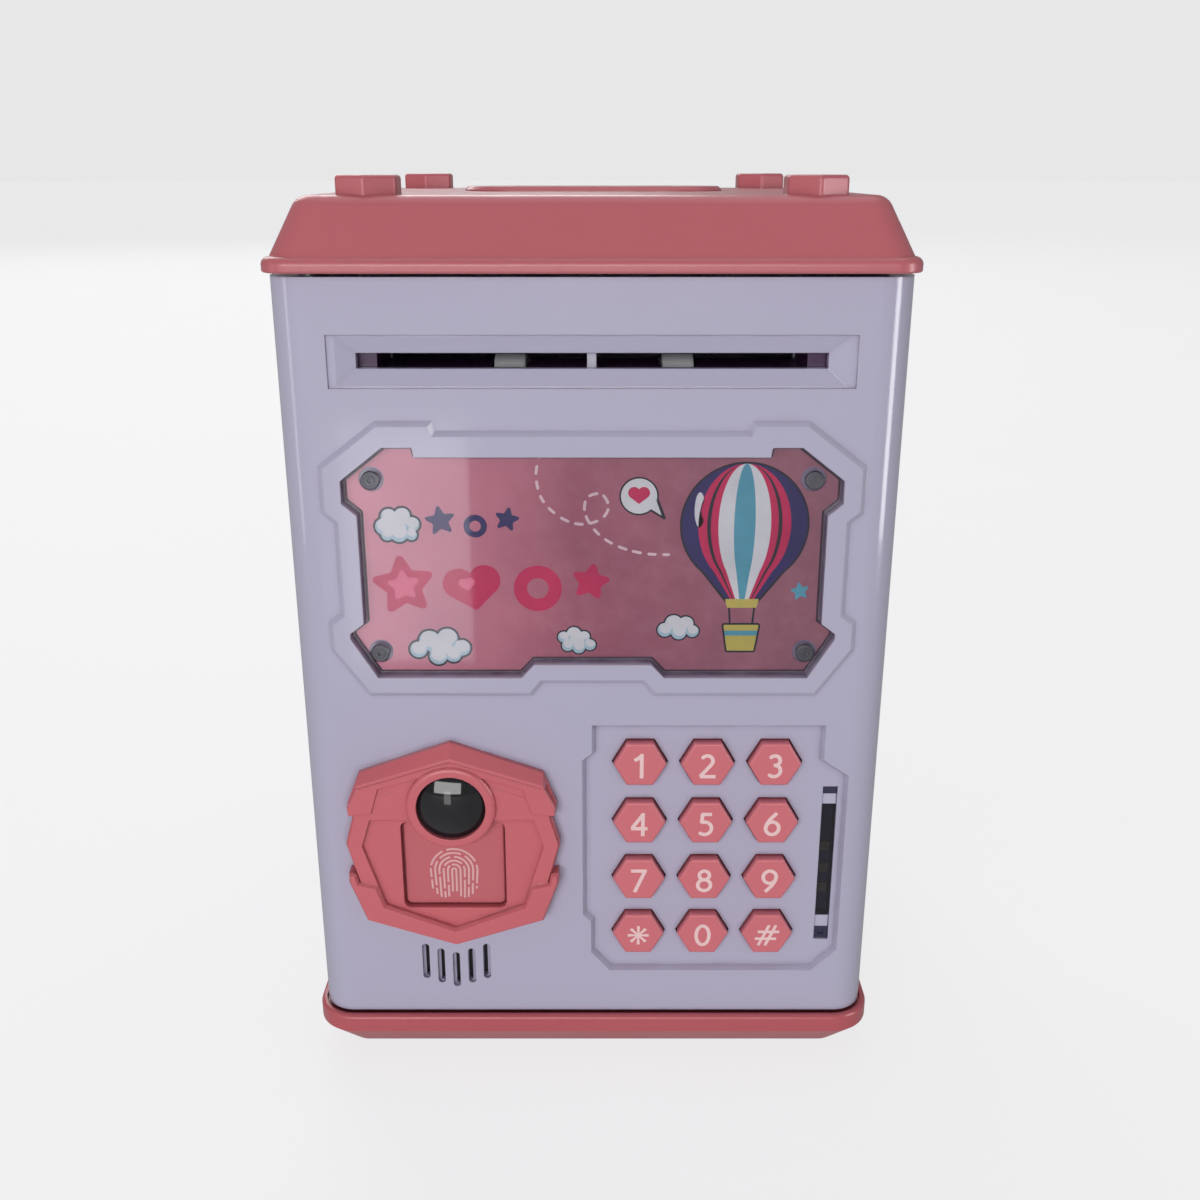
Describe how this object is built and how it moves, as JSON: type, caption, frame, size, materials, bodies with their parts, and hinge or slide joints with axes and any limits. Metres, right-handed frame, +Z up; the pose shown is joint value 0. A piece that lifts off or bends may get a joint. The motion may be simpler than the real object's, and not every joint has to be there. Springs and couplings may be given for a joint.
{
  "type": "toy safe coin bank",
  "caption": "Toy safe coin bank: hinged front door with keypad, note slot, picture window and lock badge; coin slot in a pink roof cap over a white body.",
  "frame": {"origin": "bottom centre of the whole object, on the surface it stands on", "axes": "+Z up, front of the door toward -Y, +X to the right when facing the front"},
  "size_m": [0.127, 0.1232, 0.1931],
  "materials": {
    "white_plastic": "glossy moulded lavender-white",
    "pink_plastic": "satin moulded pink",
    "white_inner": "satin moulded",
    "purple_plastic": "matte moulded",
    "foot_rubber": "matte rubber",
    "membrane_rubber": "matte silicone rubber",
    "wheel_rubber": "soft white rubber",
    "steel": "bright zinc-plated",
    "dark_screw": "black oxide",
    "spring_steel": "nickel-plated",
    "print": "printed card, pink",
    "clear": "clear acrylic",
    "lens_black": "polished black",
    "smoked": "smoked acrylic",
    "diffuser": "white diffuser",
    "dark_clip": "black moulded",
    "led_body": "clear yellow",
    "board_green": "solder mask",
    "speaker_black": "paper cone and frame",
    "gear_plastic": "natural acetal",
    "cell_jacket": "plain cell jacket"
  },
  "bodies": {
    "housing": {"base_plinth": "pink_plastic", "rubber_feet": "foot_rubber", "base_screws": "steel", "main_shell": "white_plastic", "roof_screws": "steel", "roof_cap": "pink_plastic", "hinge_pins": "steel", "strike_plate": "spring_steel", "strike_screws": "steel"},
    "door": {"door_shell": "white_plastic", "door_inner_cover": "white_inner", "cover_screws": "steel", "battery_door": "white_inner", "battery_door_screw": "steel", "battery_cells": "cell_jacket", "battery_contacts": "spring_steel", "picture_card": "print", "picture_cover": "clear", "picture_screws": "dark_screw", "lock_badge": "pink_plastic", "badge_screws": "steel", "lens_dome": "lens_black", "sensor_board": "board_green", "key_membrane": "membrane_rubber", "keypad_board": "board_green", "board_screws": "steel", "led_holder": "diffuser", "led_window": "smoked", "led_clips": "dark_clip", "indicator_leds": "led_body", "speaker": "speaker_black", "feeder_frame": "purple_plastic", "note_divider": "white_inner", "feeder_screws": "steel", "feeder_motor": "steel", "lock_guide": "gear_plastic", "lock_solenoid": "steel", "lock_screws": "steel"},
    "key_1": {"key_1": "pink_plastic"},
    "key_2": {"key_2": "pink_plastic"},
    "key_3": {"key_3": "pink_plastic"},
    "key_4": {"key_4": "pink_plastic"},
    "key_5": {"key_5": "pink_plastic"},
    "key_6": {"key_6": "pink_plastic"},
    "key_7": {"key_7": "pink_plastic"},
    "key_8": {"key_8": "pink_plastic"},
    "key_9": {"key_9": "pink_plastic"},
    "key_star": {"key_star": "pink_plastic"},
    "key_0": {"key_0": "pink_plastic"},
    "key_hash": {"key_hash": "pink_plastic"},
    "fingerprint_pad": {"fingerprint_pad": "pink_plastic"},
    "drive_roller": {"drive_shaft": "steel", "drive_wheels": "wheel_rubber", "drive_gear": "gear_plastic"},
    "pinch_roller": {"pinch_shaft": "steel", "pinch_wheels": "wheel_rubber"},
    "motor_pinion": {"motor_pinion": "gear_plastic"},
    "latch_bolt": {"latch_bolt": "gear_plastic"}
  },
  "joints": [
    {"name": "door_hinge", "type": "hinge", "parent": "housing", "child": "door", "pos_m": [-0.0578, -0.0334, 0.095], "axis": [0, 0, -1], "range_deg": [0, 90]},
    {"name": "press_1", "type": "slide", "parent": "door", "child": "key_1", "axis": [0, 1, 0], "range_m": [0, 0.001], "stiffness_N_per_m": 400},
    {"name": "press_2", "type": "slide", "parent": "door", "child": "key_2", "axis": [0, 1, 0], "range_m": [0, 0.001], "stiffness_N_per_m": 400},
    {"name": "press_3", "type": "slide", "parent": "door", "child": "key_3", "axis": [0, 1, 0], "range_m": [0, 0.001], "stiffness_N_per_m": 400},
    {"name": "press_4", "type": "slide", "parent": "door", "child": "key_4", "axis": [0, 1, 0], "range_m": [0, 0.001], "stiffness_N_per_m": 400},
    {"name": "press_5", "type": "slide", "parent": "door", "child": "key_5", "axis": [0, 1, 0], "range_m": [0, 0.001], "stiffness_N_per_m": 400},
    {"name": "press_6", "type": "slide", "parent": "door", "child": "key_6", "axis": [0, 1, 0], "range_m": [0, 0.001], "stiffness_N_per_m": 400},
    {"name": "press_7", "type": "slide", "parent": "door", "child": "key_7", "axis": [0, 1, 0], "range_m": [0, 0.001], "stiffness_N_per_m": 400},
    {"name": "press_8", "type": "slide", "parent": "door", "child": "key_8", "axis": [0, 1, 0], "range_m": [0, 0.001], "stiffness_N_per_m": 400},
    {"name": "press_9", "type": "slide", "parent": "door", "child": "key_9", "axis": [0, 1, 0], "range_m": [0, 0.001], "stiffness_N_per_m": 400},
    {"name": "press_star", "type": "slide", "parent": "door", "child": "key_star", "axis": [0, 1, 0], "range_m": [0, 0.001], "stiffness_N_per_m": 400},
    {"name": "press_0", "type": "slide", "parent": "door", "child": "key_0", "axis": [0, 1, 0], "range_m": [0, 0.001], "stiffness_N_per_m": 400},
    {"name": "press_hash", "type": "slide", "parent": "door", "child": "key_hash", "axis": [0, 1, 0], "range_m": [0, 0.001], "stiffness_N_per_m": 400},
    {"name": "press_pad", "type": "slide", "parent": "door", "child": "fingerprint_pad", "axis": [0, 1, 0], "range_m": [0, 0.0008], "stiffness_N_per_m": 500},
    {"name": "drive_spin", "type": "hinge", "parent": "door", "child": "drive_roller", "pos_m": [0, -0.0424, 0.153], "axis": [1, 0, 0], "continuous": true},
    {"name": "pinch_spin", "type": "hinge", "parent": "door", "child": "pinch_roller", "pos_m": [0, -0.0424, 0.16285], "axis": [1, 0, 0], "continuous": true},
    {"name": "pinion_spin", "type": "hinge", "parent": "door", "child": "motor_pinion", "pos_m": [0.048, -0.0424, 0.1428], "axis": [1, 0, 0], "continuous": true},
    {"name": "latch_slide", "type": "slide", "parent": "door", "child": "latch_bolt", "axis": [1, 0, 0], "range_m": [0, 0.004]}
  ],
  "couplings": [
    {"joint": "pinch_spin", "follows": "drive_spin", "ratio": -1.7143},
    {"joint": "pinion_spin", "follows": "drive_spin", "ratio": -2.4}
  ]
}
